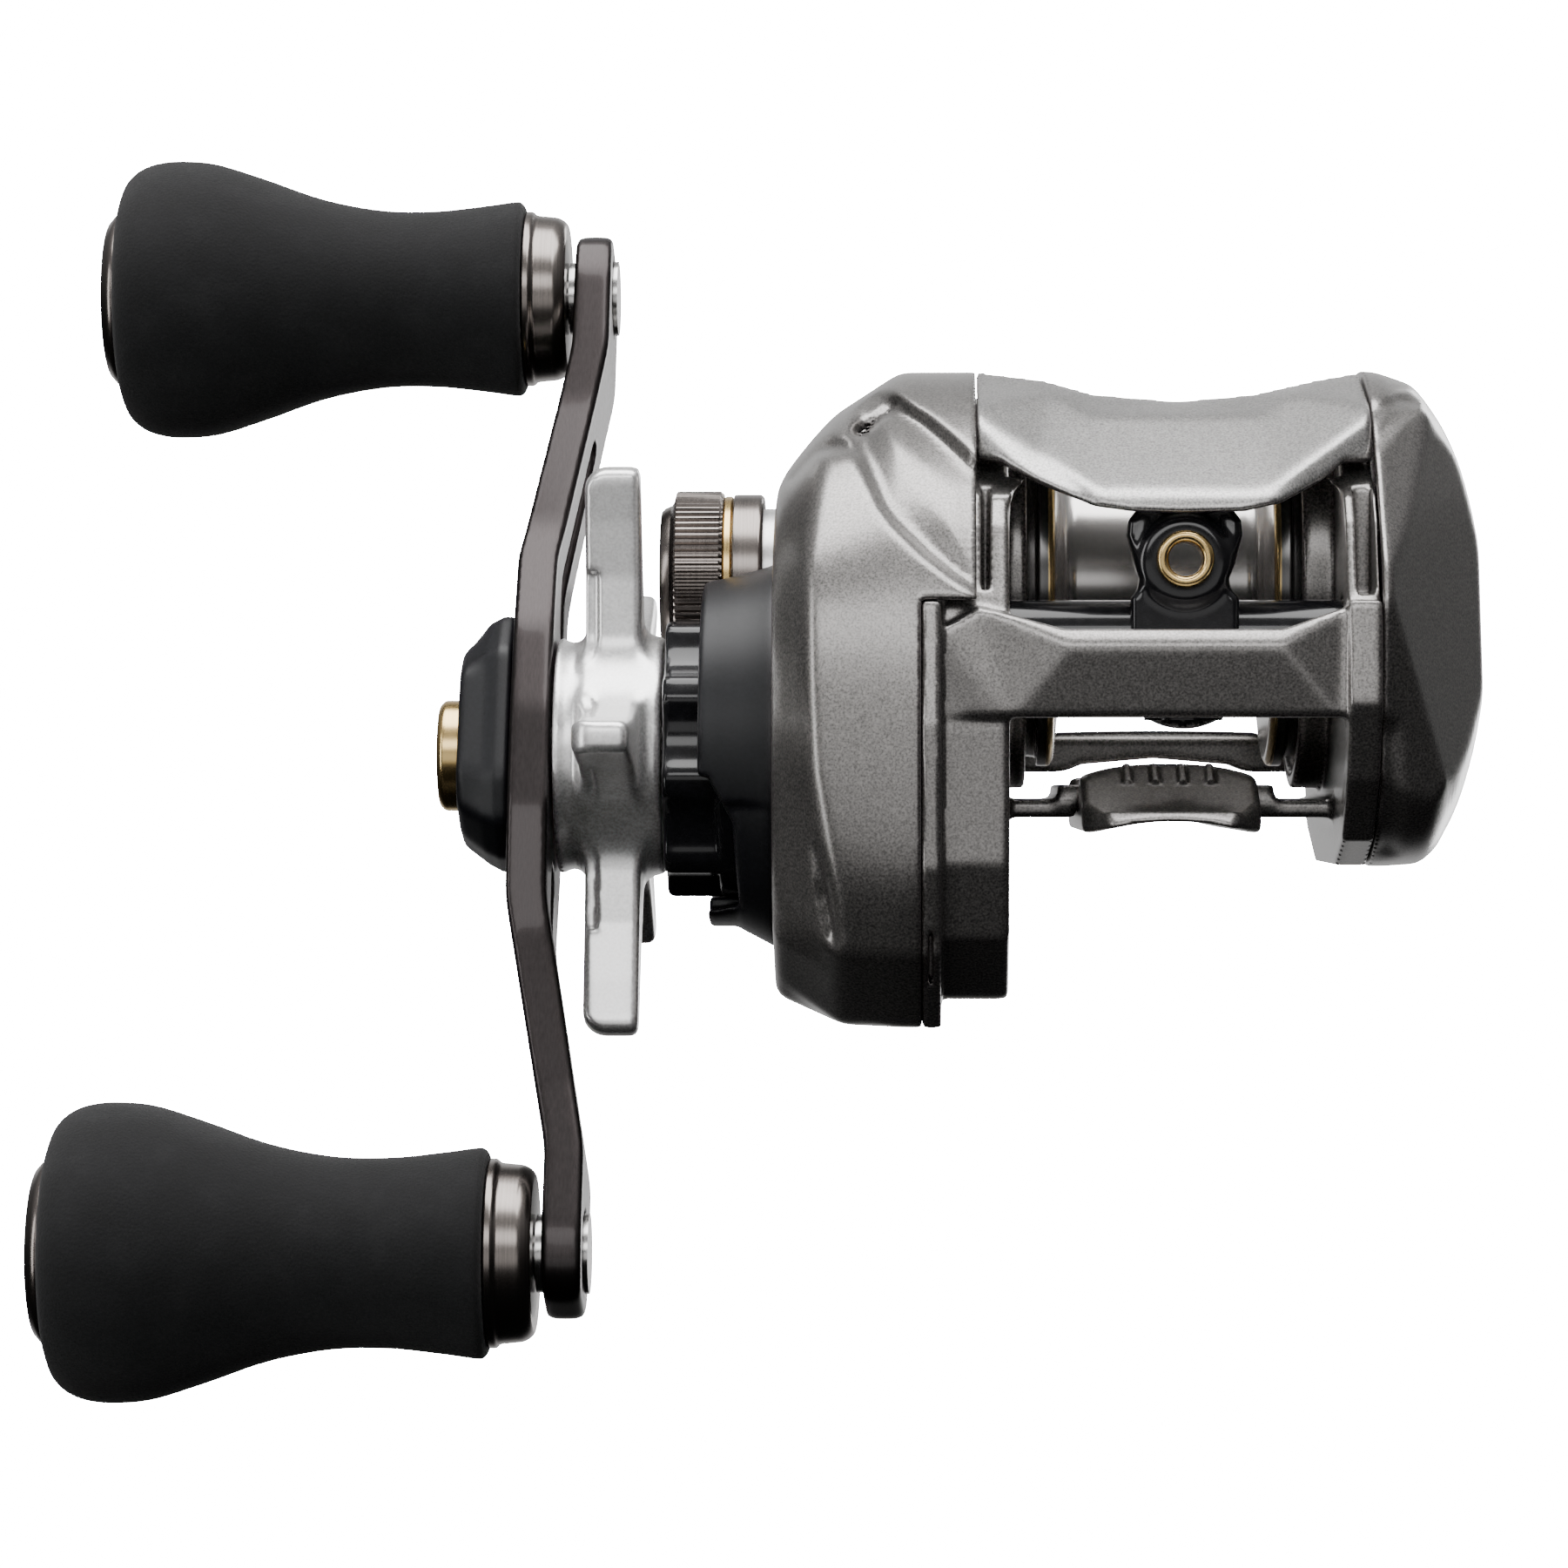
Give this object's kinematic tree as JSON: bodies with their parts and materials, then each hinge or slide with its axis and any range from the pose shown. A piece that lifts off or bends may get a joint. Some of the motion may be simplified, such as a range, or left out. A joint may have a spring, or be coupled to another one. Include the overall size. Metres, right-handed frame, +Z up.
{
  "type": "baitcasting reel",
  "caption": "Low-profile baitcasting reel with a swept double-knob handle, star drag, level wind, thumb clutch bar, removable palm side cover and a reel foot.",
  "frame": {"origin": "centre of the foot's underside, level with its two lowest edges", "axes": "+Z up from the rod to the reel, -Y towards the rod tip and line guide, +X from the handle side to the palm side, along the spool and every shaft"},
  "size_m": [0.127, 0.068, 0.1122],
  "materials": {
    "body_paint": "satin metallic",
    "hood_paint": "satin metallic",
    "bright_silver": "fine blasted silver",
    "gunmetal": "polished anodised",
    "arm_gunmetal": "satin anodised",
    "gold": "polished anodised",
    "matt_black": "matt",
    "gloss_black": "gloss",
    "foam": "fine closed-cell foam",
    "spool_silver": "machined anodised",
    "steel": "ground",
    "brass": "machined",
    "carbon": "woven fibre",
    "nylon": "moulded"
  },
  "bodies": {
    "frame": {"frame": "body_paint", "reel_foot": "body_paint", "foot_screws": "steel", "body_screws": "steel", "level_wind_hood": "hood_paint", "gear_side_cover": "body_paint", "shaft_boss_cover": "matt_black", "drag_drum": "gloss_black", "roller_clutch": "steel", "drive_shaft_bearings": "steel", "spool_bearings": "steel", "cast_control_boss": "bright_silver", "worm_guard_tube": "gloss_black", "worm_bushes": "nylon", "yoke_springs": "steel"},
    "palm_cover": {"palm_side_cover": "body_paint", "palm_bearing": "steel", "brake_ring": "steel"},
    "brake_dial": {"brake_dial": "matt_black"},
    "lock_screw": {"cover_lock_screw": "steel"},
    "spool": {"spool": "spool_silver", "spool_shaft": "steel", "spool_pin": "steel", "brake_rotor": "matt_black", "brake_weights": "nylon"},
    "yoke": {"clutch_yoke": "nylon"},
    "pinion": {"pinion_gear": "brass"},
    "thumb_bar": {"thumb_bar": "matt_black", "clutch_cam": "nylon"},
    "worm": {"worm_shaft": "steel", "worm_gear": "nylon"},
    "idler": {"idler_gear": "nylon"},
    "line_guide": {"line_guide": "gloss_black", "line_eyelet": "gold", "line_guide_pawl": "brass", "pawl_cap": "gloss_black"},
    "handle": {"drive_shaft": "steel", "drive_gear": "brass", "drag_washers": "carbon", "clutch_sleeve": "steel", "ratchet_wheel": "steel", "level_wind_gear": "nylon", "handle_arm": "arm_gunmetal", "handle_nut": "gold", "nut_retainer": "matt_black", "retainer_screw": "steel", "knob_shafts": "steel", "knob_screws": "steel"},
    "star_drag": {"star_drag": "bright_silver"},
    "upper_knob": {"upper_knob_grip": "foam", "upper_knob_core": "gunmetal", "upper_knob_cap": "gloss_black", "upper_knob_bearings": "steel"},
    "lower_knob": {"lower_knob_grip": "foam", "lower_knob_core": "gunmetal", "lower_knob_cap": "gloss_black", "lower_knob_bearings": "steel"},
    "cast_control": {"cast_control_cap": "gunmetal", "cast_control_band": "gold", "cast_control_collar": "gunmetal"}
  },
  "joints": [
    {"name": "handle_spin", "type": "hinge", "parent": "frame", "child": "handle", "pos_m": [-0.03, -0.002, 0.0068], "axis": [1, 0, 0], "continuous": true},
    {"name": "spool_spin", "type": "hinge", "parent": "frame", "child": "spool", "pos_m": [0, 0.0055, 0.0229], "axis": [1, 0, 0], "continuous": true},
    {"name": "thumb_bar_press", "type": "slide", "parent": "frame", "child": "thumb_bar", "axis": [0, 0, -1], "range_m": [0, 0.0045], "stiffness_N_per_m": 300, "springref_m": -0.001},
    {"name": "yoke_slide", "type": "slide", "parent": "frame", "child": "yoke", "axis": [-1, 0, 0], "range_m": [0, 0.0013], "deforming": ["yoke_springs"]},
    {"name": "pinion_spin", "type": "hinge", "parent": "yoke", "child": "pinion", "pos_m": [-0.022, 0.0055, 0.0229], "axis": [1, 0, 0], "continuous": true},
    {"name": "worm_spin", "type": "hinge", "parent": "frame", "child": "worm", "pos_m": [0, -0.022, 0.017], "axis": [1, 0, 0], "continuous": true},
    {"name": "idler_spin", "type": "hinge", "parent": "frame", "child": "idler", "pos_m": [-0.018, -0.01564, 0.00994], "axis": [1, 0, 0], "continuous": true},
    {"name": "line_guide_travel", "type": "slide", "parent": "frame", "child": "line_guide", "axis": [1, 0, 0], "range_m": [-0.0096, 0.0084]},
    {"name": "star_drag_turn", "type": "hinge", "parent": "handle", "child": "star_drag", "pos_m": [-0.049, -0.002, 0.0068], "axis": [1, 0, 0], "range_deg": [-270, 270]},
    {"name": "upper_knob_spin", "type": "hinge", "parent": "handle", "child": "upper_knob", "pos_m": [-0.078, 0.01904, 0.04994], "axis": [1, 0, 0], "continuous": true},
    {"name": "lower_knob_spin", "type": "hinge", "parent": "handle", "child": "lower_knob", "pos_m": [-0.078, -0.02304, -0.03634], "axis": [1, 0, 0], "continuous": true},
    {"name": "cast_control_turn", "type": "hinge", "parent": "frame", "child": "cast_control", "pos_m": [-0.042, 0.0055, 0.0229], "axis": [1, 0, 0], "range_deg": [-180, 180]},
    {"name": "palm_cover_off", "type": "slide", "parent": "frame", "child": "palm_cover", "axis": [1, 0, 0], "range_m": [0, 0.03]},
    {"name": "brake_dial_turn", "type": "hinge", "parent": "palm_cover", "child": "brake_dial", "pos_m": [0.0226, 0.0248, 0.0105], "axis": [1, 0, 0], "range_deg": [-140, 140]},
    {"name": "lock_screw_turn", "type": "hinge", "parent": "palm_cover", "child": "lock_screw", "pos_m": [0.02, 0.008, 0.0035], "axis": [1, 0, 0], "range_deg": [0, 90]}
  ],
  "couplings": [
    {"joint": "spool_spin", "follows": "handle_spin", "ratio": -6.1},
    {"joint": "pinion_spin", "follows": "handle_spin", "ratio": -6.1},
    {"joint": "idler_spin", "follows": "handle_spin", "ratio": -1.8},
    {"joint": "worm_spin", "follows": "handle_spin", "ratio": 2},
    {"joint": "yoke_slide", "follows": "thumb_bar_press", "ratio": 0.28889}
  ]
}
